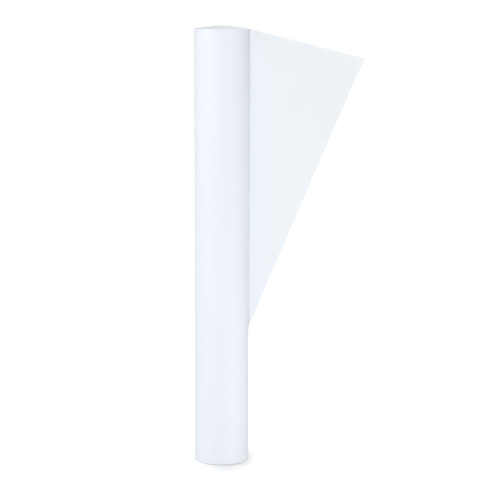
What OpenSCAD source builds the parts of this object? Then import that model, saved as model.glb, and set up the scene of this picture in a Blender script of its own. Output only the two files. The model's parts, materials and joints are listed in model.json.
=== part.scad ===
// Seamless backdrop paper on a spiral-wound board core, standing on one end.
// Origin: on the core's axis, at the lower end. +Z runs up the core. Millimetres.
// The free end leaves the roll at the back (+Y) and reaches to +X.

/* [Core] */
// Bore of the core, which slides over a crossbar or an end plug
core_bore_d = 57; // [40:0.5:80]
// Thickness of one ply of core board
ply_t = 0.7; // [0.5:0.05:1.2]
// Length of the core, cut flush with the paper
roll_length = 660; // [300:10:2800]

/* [Paper] */
// Length of paper wound tight on the core, without the loose turn and the free end
wound_length = 10500; // [3000:100:50000]
// Thickness of the paper as it lies in the wound roll
paper_t = 0.2; // [0.12:0.01:0.35]
// Wall of the loose outer turn and of the free end, which stand for one thickness of paper
sheet_t = 0.4; // [0.4:0.05:0.6]
// Air between the wound paper, the loose turn and the free end
turn_gap = 0.3; // [0.3:0.05:0.8]
// How far the loose turn's edges stand in from the ends of the core
edge_inset = 0.5; // [0.2:0.1:3]

/* [Free end] */
// Reach of the pulled-out corner from the core's axis
corner_reach = 215.5; // [120:0.5:400]
// Drop of that corner below the top of the roll
corner_drop = 43.5; // [10:0.5:80]
// Rise of the paper's upper edge above the roll where it leaves the roll
edge_rise = 4.5; // [0:0.5:8]
// How far around the back of the roll the slanting cut runs on, in degrees, to the lower edge
cut_around = 56; // [20:1:80]

/* [Starting tapes] */
// Strips of tape that hold the inner end of the paper to the core
tape_count = 3; // [2:1:5]
// Length of one strip along the core
tape_l = 60; // [30:1:80]
// Width of one strip around the core
tape_w = 19; // [12:1:25]
// Thickness of a strip with its adhesive
tape_t = 0.4; // [0.4:0.05:0.8]
// Distance of the outer strips' middles from the ends of the core
tape_margin = 70; // [50:1:120]

/* [Hidden] */
$fn = 128;

ply_count = 5;
core_r = core_bore_d / 2 + ply_count * ply_t;
// The side area of the wound paper is the area of the ring that it fills
wound_r = sqrt(pow(core_r, 2) + wound_length * paper_t / PI);
turn_r_in = wound_r + turn_gap;
turn_r_out = turn_r_in + sheet_t;
// The free end starts on the hinge line, a gap clear of the loose turn
sheet_y = turn_r_out + turn_gap;
sheet_start_x = turn_gap;
corner_z = roll_length - corner_drop;
// Laid out flat, the cut is one straight line from the lower edge to the pulled-out corner
cut_arc = turn_r_out * cut_around * PI / 180;
cut_height = corner_z * cut_arc / (corner_reach + cut_arc);
cut_lean = corner_reach / (corner_z - cut_height);
cut_foot_x = turn_r_out * sin(cut_around);
clear = 1; // how far cutting tools run past what they cut

kraft = [0.68, 0.53, 0.37];
kraft_dark = [0.60, 0.46, 0.31];
paper_white = [0.95, 0.97, 1.00];
sheet_white = [0.93, 0.96, 0.98];
tape_cream = [0.86, 0.80, 0.66];

module tube(r_in, r_out, height) {
  difference() {
    cylinder(r = r_out, h = height);
    translate([0, 0, -clear]) cylinder(r = r_in, h = height + 2 * clear);
  }
}

// Plies are numbered from the bore outwards, and each lies on the one before
module core_ply(number, tone) {
  r_in = core_bore_d / 2 + (number - 1) * ply_t;
  color(tone) tube(r_in, r_in + ply_t, roll_length);
}

// One strip's shape, bent to the core, on the side away from the free end
module tape_strip(z) {
  spread = tape_w / core_r * 180 / PI;
  translate([0, 0, z - tape_l / 2])
    rotate([0, 0, -90 - spread / 2])
      rotate_extrude(angle = spread)
        translate([core_r, 0]) square([tape_t, tape_l]);
}

module tape_strips() {
  pitch = (roll_length - 2 * tape_margin) / (tape_count - 1);
  for (i = [0 : tape_count - 1]) tape_strip(tape_margin + i * pitch);
}

module core_ply_inner() { core_ply(1, kraft); }
module core_ply_2() { core_ply(2, kraft_dark); }
module core_ply_3() { core_ply(3, kraft); }
module core_ply_4() { core_ply(4, kraft_dark); }
module core_ply_outer() { core_ply(5, kraft); }

module start_tapes() { color(tape_cream) tape_strips(); }

// The tight turns, with pockets where they bulge over the tapes
module wound_paper() {
  color(paper_white) difference() {
    tube(core_r, wound_r, roll_length);
    tape_strips();
  }
}

// The last full turn, with its lower corner cut away behind the roll
module outer_turn() {
  color(paper_white) difference() {
    translate([0, 0, edge_inset]) tube(turn_r_in, turn_r_out, roll_length - 2 * edge_inset);
    rotate([90, 0, 180])
      linear_extrude(height = turn_r_out + clear)
        polygon([[0, 0], [0, cut_height], [cut_foot_x, 0]]);
  }
}

// The free end: straight from the roll, seen from the front as a leaning triangle
module free_sheet() {
  color(sheet_white)
    translate([0, sheet_y + sheet_t, 0])
      rotate([90, 0, 0])
        linear_extrude(height = sheet_t)
          polygon([
            [sheet_start_x, cut_height + sheet_start_x / cut_lean],
            [corner_reach, corner_z],
            [turn_r_out, roll_length],
            [sheet_start_x, roll_length + edge_rise]
          ]);
}

core_ply_inner();
core_ply_2();
core_ply_3();
core_ply_4();
core_ply_outer();
start_tapes();
wound_paper();
outer_turn();
free_sheet();
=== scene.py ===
import json
import math
import random

import bmesh
import bpy
from mathutils import Matrix, Vector


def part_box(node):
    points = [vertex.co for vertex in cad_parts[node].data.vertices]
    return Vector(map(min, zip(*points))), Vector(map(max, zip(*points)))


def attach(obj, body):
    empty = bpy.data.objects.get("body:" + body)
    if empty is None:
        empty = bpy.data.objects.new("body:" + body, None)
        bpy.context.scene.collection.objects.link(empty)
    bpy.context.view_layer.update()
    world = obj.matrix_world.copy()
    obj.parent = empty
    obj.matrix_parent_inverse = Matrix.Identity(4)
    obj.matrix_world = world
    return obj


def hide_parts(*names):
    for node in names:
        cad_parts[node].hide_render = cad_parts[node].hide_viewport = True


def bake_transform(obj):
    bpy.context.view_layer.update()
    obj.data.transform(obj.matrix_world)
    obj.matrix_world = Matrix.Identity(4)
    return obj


# a roll of backdrop paper on a board core, standing on its end, with its free end pulled out to one side
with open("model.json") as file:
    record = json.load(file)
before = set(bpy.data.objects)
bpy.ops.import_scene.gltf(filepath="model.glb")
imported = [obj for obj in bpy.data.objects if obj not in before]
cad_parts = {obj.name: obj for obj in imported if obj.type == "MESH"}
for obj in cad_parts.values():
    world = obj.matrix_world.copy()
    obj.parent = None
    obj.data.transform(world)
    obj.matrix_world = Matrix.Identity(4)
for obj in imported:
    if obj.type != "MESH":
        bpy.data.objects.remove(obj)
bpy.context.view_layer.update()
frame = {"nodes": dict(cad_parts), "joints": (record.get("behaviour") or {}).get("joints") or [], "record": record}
mm = 0.001
fullTurn = 2 * math.pi
mergeDistance = 0.000008
cutTolerance = 1e-7

# sizes that several pieces share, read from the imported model
boreMount = next(m for m in frame["record"]["mounts"] if m["name"] == "core_bore")
coreBore = boreMount["dims"]["r_mm"] * mm
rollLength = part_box("wound_paper")[1].z
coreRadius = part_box("core_ply_outer")[1].x
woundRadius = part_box("wound_paper")[1].x
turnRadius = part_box("outer_turn")[1].x
# the upright line where the paper leaves the roll, the pulled-out corner, and where the cut meets that line
sheetLine = next(j for j in frame["joints"] if j["name"] == "lift_end")["pos_m"]
sheetCorners = [v.co.copy() for v in frame["nodes"]["free_sheet"].data.vertices]
pulledCorner = max(sheetCorners, key=lambda p: p.x)
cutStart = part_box("free_sheet")[0].z
print("frame loaded, roll length", round(rollLength, 4))


# modelling helpers

def nothingSelected():
    if bpy.context.object and bpy.context.object.mode == "EDIT":
        bpy.ops.object.mode_set(mode="OBJECT")
    bpy.ops.object.select_all(action="DESELECT")


def edit(piece):
    nothingSelected()
    piece.select_set(True)
    bpy.context.view_layer.objects.active = piece
    bpy.ops.object.mode_set(mode="EDIT")


def pickFaces(piece, test):
    # selects the faces whose middle passes the test, in edit mode
    bpy.ops.mesh.select_mode(type="FACE")
    bpy.ops.mesh.select_all(action="DESELECT")
    shape = bmesh.from_edit_mesh(piece.data)
    for face in shape.faces:
        if test(face.calc_center_median()):
            face.select = True
    shape.select_flush_mode()
    bmesh.update_edit_mesh(piece.data)


def drawLine(name, points, closed=False):
    # one vertex, extruded from each point to the next
    nothingSelected()
    bpy.ops.mesh.primitive_plane_add(size=mm)
    line = bpy.context.object
    line.name = line.data.name = name
    bpy.ops.object.mode_set(mode="EDIT")
    bpy.ops.mesh.merge(type="CENTER")
    bpy.ops.transform.translate(value=points[0])
    for a, b in zip(points, points[1:]):
        bpy.ops.mesh.extrude_region_move(TRANSFORM_OT_translate={"value": Vector(b) - Vector(a)})
    if closed:
        ends = bmesh.from_edit_mesh(line.data).verts
        ends.ensure_lookup_table()
        bpy.ops.mesh.select_all(action="DESELECT")
        ends[0].select = ends[len(points) - 1].select = True
        bpy.ops.mesh.edge_face_add()
        bpy.ops.mesh.select_all(action="SELECT")
    return line


def halfTurn(steps, centreY=0.0):
    # spins what is selected clockwise, seen from above, about an upright line
    bpy.ops.mesh.spin(steps=steps, angle=math.pi, center=(0, centreY, 0), axis=(0, 0, 1))


def outwards(piece):
    edit(piece)
    bpy.ops.mesh.select_all(action="SELECT")
    bpy.ops.mesh.normals_make_consistent(inside=False)
    bpy.ops.object.mode_set(mode="OBJECT")


def modify(piece, kind, **values):
    nothingSelected()
    piece.select_set(True)
    bpy.context.view_layer.objects.active = piece
    modifier = piece.modifiers.new(kind.lower(), kind)
    for name, value in values.items():
        setattr(modifier, name, value)
    bpy.ops.object.modifier_apply(modifier=modifier.name)


def smooth(piece, degrees):
    nothingSelected()
    piece.select_set(True)
    bpy.context.view_layer.objects.active = piece
    bpy.ops.object.shade_smooth_by_angle(angle=math.radians(degrees))


def place(piece, body, slot, *nodes):
    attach(piece, body)
    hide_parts(*nodes)


# materials

def newMaterial(name):
    material = bpy.data.materials.new(name)
    material.use_nodes = True
    return material, material.node_tree.nodes, material.node_tree.links


def add(nodes, kind, **values):
    node = nodes.new("ShaderNode" + kind)
    for key, value in values.items():
        if key in node.inputs:
            node.inputs[key].default_value = value
        else:
            setattr(node, key, value)
    return node


def newGroup(name, ins, outs):
    # ins are (label, kind, starting value), outs are (label, kind)
    group = bpy.data.node_groups.new(name, "ShaderNodeTree")
    for label, kind, value in ins:
        socket = group.interface.new_socket(label, in_out="INPUT", socket_type="NodeSocket" + kind)
        if value is not None:
            socket.default_value = value
    for label, kind in outs:
        group.interface.new_socket(label, in_out="OUTPUT", socket_type="NodeSocket" + kind)
    given = group.nodes.new("NodeGroupInput")
    put = group.nodes.new("NodeGroupOutput")
    return group, group.nodes, group.links, given, put


def useGroup(nodes, group, **values):
    node = nodes.new("ShaderNodeGroup")
    node.node_tree = group
    for key, value in values.items():
        node.inputs[key].default_value = value
    return node


def calc(nodes, links, operation, a, b):
    # one step of arithmetic on sockets or plain numbers
    node = nodes.new("ShaderNodeMath")
    node.operation = operation
    for socket, value in zip(node.inputs, (a, b)):
        if isinstance(value, (int, float)):
            socket.default_value = value
        else:
            links.new(value, socket)
    return node.outputs[0]


def scaled(nodes, links, vector, factor):
    node = nodes.new("ShaderNodeVectorMath")
    node.operation = "SCALE"
    links.new(vector, node.inputs[0])
    links.new(factor, node.inputs["Scale"])
    return node.outputs[0]


def spread(nodes, links, value, fromLow, fromHigh, toLow=0.0, toHigh=1.0):
    # stretches a narrow range of a texture's values to a wider or calmer one
    limits = {"From Min": fromLow, "From Max": fromHigh, "To Min": toLow, "To Max": toHigh}
    node = add(nodes, "MapRange", **limits)
    links.new(value, node.inputs["Value"])
    return node.outputs["Result"]


def blended(nodes, links, share, first, second):
    # mixes two colours, each given as a socket or as a plain colour
    node = add(nodes, "Mix", data_type="RGBA")
    links.new(share, node.inputs[0])
    for socket, colour in ((node.inputs[6], first), (node.inputs[7], second)):
        if isinstance(colour, tuple):
            socket.default_value = colour
        else:
            links.new(colour, socket)
    return node.outputs[2]


def buildPaperGrain():
    # fine tooth of the sheet, its cloudy formation and a few stray fibres
    group, nodes, links, given, put = newGroup(
        "paperGrain",
        [("Position", "Vector", None), ("Tint", "Color", (1, 1, 1, 1)), ("Cloud", "Float", 0.02)],
        [("Color", "Color"), ("Roughness", "Float"), ("Height", "Float")])
    tooth = add(nodes, "TexNoise", Scale=2600.0, Detail=3.0, Roughness=0.6)
    felt = add(nodes, "TexNoise", Scale=420.0, Detail=4.0, Roughness=0.65)
    cloud = add(nodes, "TexNoise", Scale=70.0, Detail=5.0, Roughness=0.6)
    fibre = add(nodes, "TexVoronoi", Scale=900.0, feature="DISTANCE_TO_EDGE")
    squash = add(nodes, "Mapping", Scale=(0.22, 1.0, 0.35), Rotation=(0.6, 0.2, 0.9))
    links.new(given.outputs["Position"], squash.inputs["Vector"])
    links.new(squash.outputs["Vector"], fibre.inputs["Vector"])
    for texture in (tooth, felt, cloud):
        links.new(given.outputs["Position"], texture.inputs["Vector"])
    cloudShift = calc(nodes, links, "MULTIPLY", calc(nodes, links, "SUBTRACT", cloud.outputs["Fac"], 0.5),
                      given.outputs["Cloud"])
    feltShift = calc(nodes, links, "MULTIPLY", calc(nodes, links, "SUBTRACT", felt.outputs["Fac"], 0.5),
                     calc(nodes, links, "MULTIPLY", given.outputs["Cloud"], 0.6))
    brightness = calc(nodes, links, "ADD", calc(nodes, links, "ADD", cloudShift, feltShift), 1.0)
    links.new(scaled(nodes, links, given.outputs["Tint"], brightness), put.inputs["Color"])
    rough = calc(nodes, links, "ADD", calc(nodes, links, "MULTIPLY", felt.outputs["Fac"], 0.12), 0.8)
    links.new(rough, put.inputs["Roughness"])
    strand = spread(nodes, links, fibre.outputs["Distance"], 0.0, 0.05, 1.0, 0.0)
    coarse = calc(nodes, links, "ADD", calc(nodes, links, "MULTIPLY", felt.outputs["Fac"], 0.9),
                  calc(nodes, links, "MULTIPLY", strand, 0.15))
    links.new(calc(nodes, links, "ADD", tooth.outputs["Fac"], coarse), put.inputs["Height"])
    return group


def buildEdgeSoil():
    # how much handling has greyed a surface near the two ends of the roll
    group, nodes, links, given, put = newGroup(
        "edgeSoil",
        [("Position", "Vector", None), ("Reach", "Float", 0.006), ("Amount", "Float", 0.1)],
        [("Mask", "Float")])
    split = add(nodes, "SeparateXYZ")
    links.new(given.outputs["Position"], split.inputs[0])
    aboveMiddle = calc(nodes, links, "SUBTRACT", split.outputs["Z"], rollLength / 2)
    fromMiddle = calc(nodes, links, "ABSOLUTE", aboveMiddle, 0.0)
    depth = calc(nodes, links, "SUBTRACT", rollLength / 2, fromMiddle)
    near = calc(nodes, links, "SUBTRACT", 1.0, calc(nodes, links, "DIVIDE", depth, given.outputs["Reach"]))
    near.node.use_clamp = True
    patches = add(nodes, "TexNoise", Scale=160.0, Detail=4.0, Roughness=0.7)
    links.new(given.outputs["Position"], patches.inputs["Vector"])
    patchy = spread(nodes, links, patches.outputs["Fac"], 0.38, 0.72)
    soiled = calc(nodes, links, "MULTIPLY", near, patchy)
    links.new(calc(nodes, links, "MULTIPLY", soiled, given.outputs["Amount"]), put.inputs["Mask"])
    return group


def buildFibreBoard():
    # kraft board: streaks along the strip's winding, pale and dark flecks
    group, nodes, links, given, put = newGroup(
        "fibreBoard",
        [("Position", "Vector", None), ("Tone", "Color", (0.4, 0.26, 0.14, 1)), ("Twist", "Float", 50.0),
         ("Fleck", "Float", 0.2)],
        [("Color", "Color"), ("Roughness", "Float"), ("Height", "Float")])
    split = add(nodes, "SeparateXYZ")
    links.new(given.outputs["Position"], split.inputs[0])
    turnBack = add(nodes, "VectorRotate", rotation_type="Z_AXIS")
    links.new(given.outputs["Position"], turnBack.inputs["Vector"])
    wound = calc(nodes, links, "MULTIPLY", split.outputs["Z"], given.outputs["Twist"])
    links.new(wound, turnBack.inputs["Angle"])
    stretch = add(nodes, "Mapping", Scale=(1.0, 1.0, 0.12))
    links.new(turnBack.outputs["Vector"], stretch.inputs["Vector"])
    streak = add(nodes, "TexNoise", Scale=520.0, Detail=5.0, Roughness=0.65)
    fleck = add(nodes, "TexNoise", Scale=1300.0, Detail=2.0, Roughness=0.5)
    blotch = add(nodes, "TexNoise", Scale=45.0, Detail=3.0, Roughness=0.5)
    links.new(stretch.outputs["Vector"], streak.inputs["Vector"])
    links.new(stretch.outputs["Vector"], fleck.inputs["Vector"])
    links.new(given.outputs["Position"], blotch.inputs["Vector"])
    shade = spread(nodes, links, streak.outputs["Fac"], 0.3, 0.7, 0.88, 1.1)
    spots = spread(nodes, links, fleck.outputs["Fac"], 0.6, 0.72)
    cloudy = spread(nodes, links, blotch.outputs["Fac"], 0.3, 0.7, 0.93, 1.06)
    tone = scaled(nodes, links, given.outputs["Tone"], calc(nodes, links, "MULTIPLY", shade, cloudy))
    flecked = calc(nodes, links, "MULTIPLY", spots, given.outputs["Fleck"])
    links.new(blended(nodes, links, flecked, tone, (0.16, 0.09, 0.045, 1)), put.inputs["Color"])
    rough = calc(nodes, links, "ADD", calc(nodes, links, "MULTIPLY", streak.outputs["Fac"], 0.15), 0.78)
    links.new(rough, put.inputs["Roughness"])
    height = calc(nodes, links, "ADD", streak.outputs["Fac"],
                  calc(nodes, links, "MULTIPLY", fleck.outputs["Fac"], 0.4))
    links.new(height, put.inputs["Height"])
    return group


paperGrain = buildPaperGrain()
edgeSoil = buildEdgeSoil()
fibreBoard = buildFibreBoard()


# tints, and how cloudy, rough and handled the paper is
paperLook = {
    "outside": (0.868, 0.907, 0.965, 1), "inside": (0.883, 0.918, 0.947, 1), "ends": (0.80, 0.83, 0.86, 1),
    "cloud": 0.02, "endCloud": 0.03, "bump": 0.25, "bumpDepth": 0.00004, "ringBump": 0.5, "ringDepth": 0.0001,
    "soilTint": (0.62, 0.6, 0.58, 1), "soilAmount": 0.12, "soilReach": 0.008, "ringScale": 1900.0,
}


def makePaper(name, tint):
    material, nodes, links = newMaterial(name)
    shader = nodes["Principled BSDF"]
    shader.inputs["Specular IOR Level"].default_value = 0.25
    where = add(nodes, "TexCoord")
    grain = useGroup(nodes, paperGrain, Tint=tint, Cloud=paperLook["cloud"])
    soil = useGroup(nodes, edgeSoil, Reach=paperLook["soilReach"], Amount=paperLook["soilAmount"])
    links.new(where.outputs["Object"], grain.inputs["Position"])
    links.new(where.outputs["Object"], soil.inputs["Position"])
    colour = blended(nodes, links, soil.outputs["Mask"], grain.outputs["Color"], paperLook["soilTint"])
    links.new(colour, shader.inputs["Base Color"])
    links.new(grain.outputs["Roughness"], shader.inputs["Roughness"])
    relief = add(nodes, "Bump", Strength=paperLook["bump"], Distance=paperLook["bumpDepth"])
    links.new(grain.outputs["Height"], relief.inputs["Height"])
    links.new(relief.outputs["Normal"], shader.inputs["Normal"])
    return material


def makePaperEnds(name, tint):
    # the sawn end of the roll, where every turn shows its edge
    material, nodes, links = newMaterial(name)
    shader = nodes["Principled BSDF"]
    shader.inputs["Specular IOR Level"].default_value = 0.15
    where = add(nodes, "TexCoord")
    grain = useGroup(nodes, paperGrain, Tint=tint, Cloud=paperLook["endCloud"])
    links.new(where.outputs["Object"], grain.inputs["Position"])
    split = add(nodes, "SeparateXYZ")
    flat = add(nodes, "CombineXYZ")
    links.new(where.outputs["Object"], split.inputs[0])
    links.new(split.outputs["X"], flat.inputs["X"])
    links.new(split.outputs["Y"], flat.inputs["Y"])
    reach = nodes.new("ShaderNodeVectorMath")
    reach.operation = "LENGTH"
    links.new(flat.outputs[0], reach.inputs[0])
    rings = add(nodes, "TexNoise", noise_dimensions="1D", Scale=paperLook["ringScale"], Detail=2.0,
                Roughness=0.7)
    links.new(reach.outputs["Value"], rings.inputs["W"])
    bands = spread(nodes, links, rings.outputs["Fac"], 0.3, 0.7, 0.78, 1.05)
    links.new(scaled(nodes, links, grain.outputs["Color"], bands), shader.inputs["Base Color"])
    links.new(grain.outputs["Roughness"], shader.inputs["Roughness"])
    relief = add(nodes, "Bump", Strength=paperLook["ringBump"], Distance=paperLook["ringDepth"])
    links.new(rings.outputs["Fac"], relief.inputs["Height"])
    links.new(relief.outputs["Normal"], shader.inputs["Normal"])
    return material


paperOutside = makePaper("paperOutside", paperLook["outside"])
paperInside = makePaper("paperInside", paperLook["inside"])
paperEnds = makePaperEnds("paperEnds", paperLook["ends"])
print("paper materials made")


# camera

# level with the top of the roll, tilts in degrees
camera = {"x": 0.0429, "distance": 2.239, "tilt": 8.463, "roll": 0.25, "lens": 106.88, "sensor": 36}
eye = bpy.data.objects.new("camera", bpy.data.cameras.new("camera"))
bpy.context.scene.collection.objects.link(eye)
eye.location = (camera["x"], -camera["distance"], rollLength)
looking = Matrix.Rotation(math.radians(90 - camera["tilt"]), 3, "X")
eye.rotation_euler = (looking @ Matrix.Rotation(math.radians(camera["roll"]), 3, "Z")).to_euler()
eye.data.lens = camera["lens"]
eye.data.sensor_width = camera["sensor"]
bpy.context.scene.camera = eye


# core: five plies of board, each wound as a strip

plies = {
    "stripHeight": 0.1195, "seamGap": 0.0005, "steps": 96, "bevel": 0.00012, "phaseStep": 0.37,
    "glueGap": 0.000015,  # a hair of air keeps the glued faces apart
    "bump": 0.45, "bumpDepth": 0.0001, "tornReach": 0.004, "tornAmount": 0.7,
    "tornPaler": 1.5,  # torn fibres at the sawn ends look paler
    "boards": [{"slot": "core_board", "tone": (0.40, 0.26, 0.145, 1), "fleck": 0.25},
               {"slot": "core_board_dark", "tone": (0.30, 0.205, 0.125, 1), "fleck": 0.35}],
    "nodes": ["core_ply_inner", "core_ply_2", "core_ply_3", "core_ply_4", "core_ply_outer"],
}


def makeBoard(name, tone, twist, fleck):
    material, nodes, links = newMaterial(name)
    shader = nodes["Principled BSDF"]
    shader.inputs["Specular IOR Level"].default_value = 0.2
    where = add(nodes, "TexCoord")
    board = useGroup(nodes, fibreBoard, Tone=tone, Twist=twist, Fleck=fleck)
    torn = useGroup(nodes, edgeSoil, Reach=plies["tornReach"], Amount=plies["tornAmount"])
    links.new(where.outputs["Object"], board.inputs["Position"])
    links.new(where.outputs["Object"], torn.inputs["Position"])
    tornTone = tuple(c * plies["tornPaler"] for c in tone[:3]) + (1,)
    colour = blended(nodes, links, torn.outputs["Mask"], board.outputs["Color"], tornTone)
    links.new(colour, shader.inputs["Base Color"])
    links.new(board.outputs["Roughness"], shader.inputs["Roughness"])
    relief = add(nodes, "Bump", Strength=plies["bump"], Distance=plies["bumpDepth"])
    links.new(board.outputs["Height"], relief.inputs["Height"])
    links.new(relief.outputs["Normal"], shader.inputs["Normal"])
    return material


def makePly(name, inner, outer, phase, climb):
    # a strip's cross-section, screwed up the core, then sawn off square at both ends
    pitch = plies["stripHeight"] + plies["seamGap"]
    rise = plies["stripHeight"]
    bevel = plies["bevel"]
    near = inner + (plies["glueGap"] if inner > coreBore else 0)
    far = outer - plies["glueGap"]
    low = -pitch * (1 + phase)
    high = low + rise
    corners = [(near + bevel, low), (far - bevel, low), (far, low + bevel), (far, high - bevel),
               (far - bevel, high), (near + bevel, high), (near, high - bevel), (near, low + bevel)]
    strip = drawLine(name, [(x, 0, z) for x, z in corners], closed=True)
    bpy.ops.object.mode_set(mode="OBJECT")
    turns = math.ceil(rollLength / pitch) + 2
    modify(strip, "SCREW", axis="Z", angle=climb * fullTurn * turns, screw_offset=pitch * turns, iterations=1,
           steps=plies["steps"] * turns, render_steps=plies["steps"] * turns, use_merge_vertices=False,
           use_smooth_shade=True)
    edit(strip)
    for height, up in ((0.0, False), (rollLength, True)):
        bpy.ops.mesh.select_all(action="SELECT")
        bpy.ops.mesh.bisect(plane_co=(0, 0, height), plane_no=(0, 0, 1), use_fill=True,
                            clear_inner=not up, clear_outer=up, threshold=cutTolerance)
    bpy.ops.object.mode_set(mode="OBJECT")
    outwards(strip)
    smooth(strip, 30)
    return strip


inner = coreBore
for number, node in enumerate(plies["nodes"]):
    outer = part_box(node)[1].x
    climb = 1 if number % 2 == 0 else -1
    look = plies["boards"][number % 2]
    ply = makePly("corePly" + str(number + 1), inner, outer, plies["phaseStep"] * number % 1, climb)
    twist = -climb * fullTurn / plies["stripHeight"]
    ply.data.materials.append(makeBoard("board" + str(number + 1), look["tone"], twist, look["fleck"]))
    place(ply, "roll", look["slot"], node)
    inner = outer
print("core plies made")


# starting tapes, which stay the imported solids

tape = {
    "weave": 900.0, "low": (0.66, 0.57, 0.38, 1), "high": (0.76, 0.69, 0.52, 1),
    "roughness": (0.35, 0.6),
}


def makeTape():
    material, nodes, links = newMaterial("tapeCream")
    shader = nodes["Principled BSDF"]
    where = add(nodes, "TexCoord")
    weave = add(nodes, "TexNoise", Scale=tape["weave"], Detail=3.0)
    links.new(where.outputs["Object"], weave.inputs["Vector"])
    rough = spread(nodes, links, weave.outputs["Fac"], 0.3, 0.7, *tape["roughness"])
    links.new(rough, shader.inputs["Roughness"])
    colour = blended(nodes, links, weave.outputs["Fac"], tape["low"], tape["high"])
    links.new(colour, shader.inputs["Base Color"])
    return material


tapes = frame["nodes"]["start_tapes"]
tapes.data.materials.clear()
tapes.data.materials.append(makeTape())


# wound paper: one spiral, with a step where its last turn ends

pack = {
    "paper": 0.0002, "stepsPerHalf": 72, "groove": 0.00014, "bead": 0.00006, "standIn": 0.0004,
    "tapeRoom": 0.00045, "tapeReach": 0.012, "skin": 0.00002, "endBand": 0.001,
    "waves": [(0.22, 19, 1), (0.16, 47, 0), (0.12, 83, 2)],  # size, rate and phase of the ends' unevenness
}


def telescoping(radius):
    # how far the turns stand in from the saw cut, turn by turn
    share = (radius - coreRadius) / (woundRadius - coreRadius)
    wave = sum((size * math.sin(share * rate + phase) for size, rate, phase in pack["waves"]), 0.5)
    return pack["standIn"] * wave


def onEnd(z):
    # -1 at the lower end of the roll, 1 at the upper one and 0 between them
    return (z > rollLength - pack["endBand"]) - (z < pack["endBand"])


def makePack():
    first = coreRadius + pack["skin"]
    turns = round((woundRadius - first) / pack["paper"])
    grow = (woundRadius - first) / turns
    top = []
    for k in range(turns):
        start = first + k * grow
        top += [(start, rollLength - pack["groove"]), (start + pack["bead"], rollLength),
                (start + grow - pack["bead"], rollLength)]
    top.append((first + turns * grow, rollLength - pack["groove"]))
    bottom = [(r, rollLength - z) for r, z in reversed(top)]
    widened = first + pack["tapeRoom"]
    inside = [(widened, pack["tapeReach"]), (widened, rollLength - pack["tapeReach"])]
    roll = drawLine("woundPaper", [(0, r, z) for r, z in top + bottom + inside], closed=True)
    halfTurn(pack["stepsPerHalf"])
    halfTurn(pack["stepsPerHalf"], grow / 2)  # the second centre makes each turn one paper further out
    bpy.ops.mesh.select_all(action="SELECT")
    bpy.ops.mesh.remove_doubles(threshold=mergeDistance)
    bpy.ops.mesh.select_all(action="DESELECT")
    bpy.ops.mesh.select_non_manifold()
    bpy.ops.mesh.fill_holes(sides=0)  # the steps where the first turn starts and the last one ends
    bpy.ops.object.mode_set(mode="OBJECT")
    outwards(roll)
    for v in roll.data.vertices:
        v.co.z -= onEnd(v.co.z) * telescoping(math.hypot(v.co.x, v.co.y))
    roll.data.materials.append(paperOutside)
    roll.data.materials.append(paperEnds)
    for face in roll.data.polygons:
        if onEnd(face.center.z):
            face.material_index = 1
    smooth(roll, 30)
    place(roll, "roll", "white_paper", "wound_paper")


makePack()
print("wound paper made")


# the loose end of the sheet: its last turn, and the part pulled off it and cut aslant

sheet = {
    "thickness": 0.0002, "rows": 44, "stepsPerHalf": 96, "gap": 0.00002, "lift": 0.0005, "spare": 1.03,
    "bendReach": 0.018, "fineStep": 0.0015, "coarseStep": 0.008, "topBend": 0.045, "flatBand": 0.00005,
    "flare": 0.0004, "flareDepth": 0.1, "flareStart": 0.001, "curl": 0.007, "ripple": 0.0005, "raggedSeed": 7,
    "cutRoughness": 0.00025, "cutBand": 0.00002, "raggedAcross": 0.9, "raggedDown": 0.4, "footBand": 0.002,
    "rippleFade": 1.6, "inwardShare": 0.5,
    "ripples": [(1.0, 23, 2.2, 0), (0.6, 41, -3.1, 1)],  # size, rate down, rate across and phase
    "curlRoom": 0.06,  # how far in front of the hinge line the curled part may lie, as a share of its reach
    "turnFlat": (0.66, 0.261), "turnArea": 0.1702, "endFlat": (0.216, 0.567), "endArea": 0.0615,
}

# the wound turns end in a step one paper high, so the last turn starts clear of it
# its second half has its centre moved back by the slack, which opens the turn out by twice that
turnStart = woundRadius + pack["paper"] + sheet["gap"] + sheet["thickness"] / 2
slack = (sheetLine[1] - turnStart) / 2
lean = pulledCorner.x / (pulledCorner.z - cutStart)  # of the cut, across over up


def straightEdge(x):
    # height of the straight line through the pulled-out corner and the roll's upper right edge
    slope = (rollLength - pulledCorner.z) / (pulledCorner.x - turnRadius)
    return pulledCorner.z + slope * (pulledCorner.x - x)


def topEdge(x):
    # height of the pulled end's top edge: level at the roll's back, then the straight slope
    bend = sheet["topBend"]
    if x >= bend:
        return straightEdge(x)
    slope = (straightEdge(0) - straightEdge(bend)) / bend
    return straightEdge(bend) + slope * bend / 2 - slope * x * x / (2 * bend)


def onFreePart(p):
    return p.x >= 0 and p.y > sheetLine[1] - sheet["flatBand"]


def onTurnedPart(p):
    return p.x < 0 < p.y


def shapeTopEdge(paper):
    rise = topEdge(0) - rollLength
    for v in bmesh.from_edit_mesh(paper.data).verts:
        if onFreePart(v.co):
            height = topEdge(v.co.x)
        elif onTurnedPart(v.co):
            t = 1 - math.atan2(-v.co.x, v.co.y) / (math.pi / 2)
            height = rollLength + rise * t * t * (3 - 2 * t)
        else:
            continue
        v.co.z *= height / rollLength
    bmesh.update_edit_mesh(paper.data)


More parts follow.
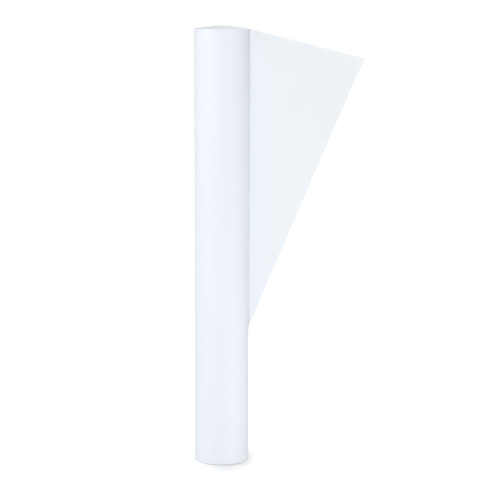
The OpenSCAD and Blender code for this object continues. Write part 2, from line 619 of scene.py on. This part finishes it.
def cutAslant(paper):
    # across the free part, then on round the back of the roll to the lower edge
    hingePoint = Vector((0, sheetLine[1], cutStart))
    turn = sheetLine[1] - slack
    foot = cutStart * lean / turn
    footPoint = Vector((-turn * math.sin(foot), slack + turn * math.cos(foot), 0))
    away = Vector((1, 0, -lean)).normalized()
    across = (footPoint - hingePoint).cross(Vector((-lean, 0, -1))).normalized()
    if across.y < 0:
        across = -across
    pickFaces(paper, onFreePart)
    bpy.ops.mesh.bisect(plane_co=(0, 0, cutStart), plane_no=away, threshold=cutTolerance)
    pickFaces(paper, onTurnedPart)
    bpy.ops.mesh.bisect(plane_co=hingePoint, plane_no=across, threshold=cutTolerance)

    # the two lines share a point on the hinge line, so what lies below both goes in one step
    pickFaces(paper, lambda p: (onTurnedPart(p) and (p - hingePoint).dot(across) > 0)
              or (onFreePart(p) and (p - hingePoint).dot(away) > 0))
    bpy.ops.mesh.delete(type="FACE")


def makeSheet():
    rows = sheet["rows"]
    heights = [sheet["lift"] + (rollLength - sheet["lift"]) * k / rows for k in range(rows + 1)]
    paper = drawLine("outerTurn", [(0, turnStart, z) for z in heights])
    bpy.ops.mesh.select_all(action="SELECT")
    halfTurn(sheet["stepsPerHalf"])
    halfTurn(sheet["stepsPerHalf"], slack)
    fine = round(sheet["bendReach"] / sheet["fineStep"])
    coarse = math.ceil((pulledCorner.x * sheet["spare"] - sheet["bendReach"]) / sheet["coarseStep"])
    for step in [sheet["fineStep"]] * fine + [sheet["coarseStep"]] * coarse:
        bpy.ops.mesh.extrude_region_move(TRANSFORM_OT_translate={"value": (step, 0, 0)})
    bpy.ops.mesh.select_all(action="SELECT")
    bpy.ops.mesh.remove_doubles(threshold=mergeDistance)
    shapeTopEdge(paper)
    cutAslant(paper)
    bpy.ops.object.mode_set(mode="OBJECT")
    return paper


def cutDistance(point):
    # how far a point of the sheet lies inside the cut, measured on the flat paper
    along = point.x
    if point.x < 0:
        along = -math.atan2(-point.x, point.y - slack) * (sheetLine[1] - slack)
    return (point.z - cutStart) * lean - along


def shapeSheet(paper):
    # a ragged cut, a slight curl and ripple in the free part, and slack at the top left of the last turn
    ragged = random.Random(sheet["raggedSeed"])
    for v in paper.data.vertices:
        p = v.co
        onFree = onFreePart(p)
        onCut = (onFree or onTurnedPart(p)) and abs(cutDistance(p)) < sheet["cutBand"]
        if onCut and p.z > sheet["footBand"]:
            step = ragged.uniform(-1, 1) * sheet["cutRoughness"]
            p.x += step * sheet["raggedAcross"]
            p.z -= step * sheet["raggedDown"]
        if onFree:
            out = p.x / pulledCorner.x
            wave = sum(size * math.sin(p.z * down + out * sideways + phase)
                       for size, down, sideways, phase in sheet["ripples"])
            p.y += -sheet["curl"] * out * out + sheet["ripple"] * wave * out * (sheet["rippleFade"] - out)
        elif p.x < -sheet["flareStart"]:
            side = math.atan2(-p.x, p.y) / math.pi  # 0 at the back, 1 at the front
            bell = math.sin(math.pi * min(1, side)) ** 2
            depth = max(0.0, 1 - (rollLength - p.z) / sheet["flareDepth"])
            off = sheet["flare"] * bell * depth * depth
            far = math.hypot(p.x, p.y)
            p.x += p.x / far * off
            p.y += p.y / far * off


def finishSheet(piece, inward):
    modify(piece, "SOLIDIFY", thickness=sheet["thickness"], offset=0, use_even_offset=True)
    outwards(piece)
    smooth(piece, 40)
    piece.data.materials.append(paperOutside)
    piece.data.materials.append(paperInside)
    for face in piece.data.polygons:
        if inward(face.center, face.normal):
            face.material_index = 1


outerTurn = makeSheet()
shapeSheet(outerTurn)
edit(outerTurn)
pickFaces(outerTurn, lambda p: p.x > 0
          and p.y > sheetLine[1] - sheet["thickness"] - sheet["curlRoom"] * p.x)
bpy.ops.mesh.separate(type="SELECTED")
bpy.ops.object.mode_set(mode="OBJECT")
freeSheet = next(o for o in bpy.context.selected_objects if o != outerTurn)
freeSheet.name = freeSheet.data.name = "freeSheet"
finishSheet(outerTurn, lambda c, n: n.x * c.x + n.y * c.y < -sheet["inwardShare"] * math.hypot(c.x, c.y))
finishSheet(freeSheet, lambda c, n: n.y < -sheet["inwardShare"])
place(outerTurn, "loose_turn", "white_paper", "outer_turn")
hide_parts("free_sheet")
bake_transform(freeSheet)
print("sheet made")


# floor, world and lights

# the floor is lifted to white for the camera alone, except in an oval at the foot of the roll: there the lift
# fades out, which paints a soft shadow there that the rendered shadow of the roll deepens
studio = {
    "floorSize": 40, "floorDrop": 0.0002, "floorAlbedo": 0.8, "floorGlow": 0.03,
    "liftNear": 0.0, "liftFar": 0.9, "liftStart": 0.49, "liftEnd": 2.63,
    "shadeX": 0.006, "shadeY": 0.0, "shadeWide": 0.040, "shadeDeep": 0.085,
    "skyLight": 0.32, "aimX": 0.03,
}

# angle goes round from the front, positive to the right, and aim is the height that the light looks at
lights = {
    "keyLight": {"angle": 7, "distance": 2.3, "height": 1.35, "size": 0.8, "power": 24.3, "aim": 0.35},
    "sideLight": {"angle": -87, "distance": 2.3, "height": 1.35, "size": 0.8, "power": 20.5, "aim": 0.35},
    "cardLight": {"angle": 68, "distance": 0.58, "height": 0.03, "size": 0.3, "power": 0.8, "aim": 0.05},
    "backLight": {"angle": 190, "distance": 2.3, "height": 1.35, "size": 1.2, "power": 14, "aim": 0.35},
    "topLight": {"angle": 0, "distance": 0.0, "height": 3.0, "size": 2.0, "power": 27, "aim": 0.35},
}


def makeFloor():
    nothingSelected()
    bpy.ops.mesh.primitive_plane_add(size=1)
    floor = bpy.context.object
    floor.name = floor.data.name = "floor"
    edit(floor)
    bpy.ops.mesh.select_all(action="SELECT")
    bpy.ops.transform.resize(value=(studio["floorSize"], studio["floorSize"], 1))
    bpy.ops.transform.translate(value=(0, 0, -studio["floorDrop"]))
    bpy.ops.object.mode_set(mode="OBJECT")
    material, nodes, links = newMaterial("floorPale")
    shader = nodes["Principled BSDF"]
    shader.inputs["Base Color"].default_value = (studio["floorAlbedo"],) * 3 + (1,)
    shader.inputs["Roughness"].default_value = 0.9
    shader.inputs["Specular IOR Level"].default_value = 0.0
    shader.inputs["Emission Color"].default_value = (1, 1, 1, 1)
    rays = nodes.new("ShaderNodeLightPath")
    where = add(nodes, "TexCoord")
    wide, deep = studio["shadeWide"], studio["shadeDeep"]
    oval = add(nodes, "Mapping", Location=(-studio["shadeX"] / wide, -studio["shadeY"] / deep, 0),
               Scale=(1 / wide, 1 / deep, 1))
    links.new(where.outputs["Object"], oval.inputs["Vector"])
    reach = nodes.new("ShaderNodeVectorMath")
    reach.operation = "LENGTH"
    links.new(oval.outputs["Vector"], reach.inputs[0])
    # painted shadow: the camera's lift is nothing inside the oval and rises to full white outside it
    ramp = spread(nodes, links, reach.outputs["Value"], studio["liftStart"], studio["liftEnd"],
                  studio["liftNear"], studio["liftFar"])
    lift = calc(nodes, links, "MULTIPLY", rays.outputs["Is Camera Ray"], ramp)
    links.new(calc(nodes, links, "ADD", lift, studio["floorGlow"]), shader.inputs["Emission Strength"])
    floor.data.materials.append(material)


def makeWorld():
    world = bpy.data.worlds.new("studio")
    bpy.context.scene.world = world
    world.use_nodes = True
    nodes, links = world.node_tree.nodes, world.node_tree.links
    nodes.clear()
    rays = nodes.new("ShaderNodeLightPath")
    seen = nodes.new("ShaderNodeBackground")
    lit = nodes.new("ShaderNodeBackground")
    mix = nodes.new("ShaderNodeMixShader")
    seen.inputs["Color"].default_value = (1, 1, 1, 1)
    lit.inputs["Color"].default_value = (1, 1, 1, 1)
    lit.inputs["Strength"].default_value = studio["skyLight"]
    out = nodes.new("ShaderNodeOutputWorld")
    links.new(rays.outputs["Is Camera Ray"], mix.inputs[0])
    links.new(lit.outputs[0], mix.inputs[1])
    links.new(seen.outputs[0], mix.inputs[2])
    links.new(mix.outputs[0], out.inputs["Surface"])


def addLight(name, angle, distance, height, size, power, aim):
    turn = math.radians(angle)
    light = bpy.data.objects.new(name, bpy.data.lights.new(name, "AREA"))
    light.data.shape = "SQUARE"
    light.data.size = size
    light.data.energy = power
    light.visible_camera = False
    light.location = (distance * math.sin(turn), -distance * math.cos(turn), height)
    looks = Vector((studio["aimX"], 0, aim)) - light.location
    light.rotation_euler = looks.to_track_quat("-Z", "Y").to_euler()
    bpy.context.scene.collection.objects.link(light)


makeFloor()
makeWorld()
for name, values in lights.items():
    addLight(name, **values)
bpy.context.scene.view_settings.view_transform = "Standard"
print("studio made")
